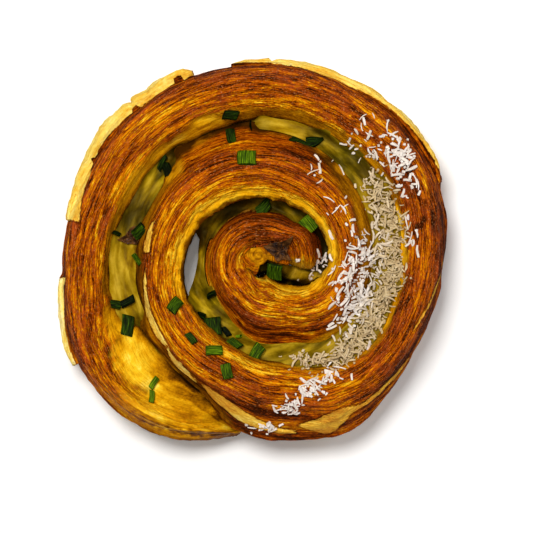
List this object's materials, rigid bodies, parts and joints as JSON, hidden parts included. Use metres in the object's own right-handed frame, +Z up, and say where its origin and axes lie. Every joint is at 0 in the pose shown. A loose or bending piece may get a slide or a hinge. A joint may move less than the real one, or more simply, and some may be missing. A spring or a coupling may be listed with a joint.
{
  "type": "savory pastry swirl",
  "caption": "Baked swirl of coiled laminated dough with a cheese and egg filling in its groove, topped with chopped chives and grated cheese.",
  "frame": {"origin": "middle of the flat underside, at the centre of the plan's bounding box", "axes": "+Z up out of the face that shows; the coil opens counter-clockwise from its middle, and its tail ends on the -Y side"},
  "size_m": [0.1095, 0.1073, 0.0314],
  "materials": {
    "crust": "baked laminated dough, brown and striated on its upper edge under an egg wash with a soft shine, yellow on its flanks; wood stands in for a dry crust",
    "filling": "soft baked cheese and egg cream, yellow-green and slightly moist; matte plastic stands in for it",
    "chives": "chopped raw chives, darker at the cut ends; matte plastic stands in for them",
    "grated_cheese": "dry grated hard cheese, off-white; matte plastic stands in for it",
    "mushroom": "roasted mushroom scraps, dark purple-brown and wrinkled; leather stands in for them"
  },
  "bodies": {
    "root": {"pastry": "crust", "filling": "filling"}
  },
  "joints": []
}
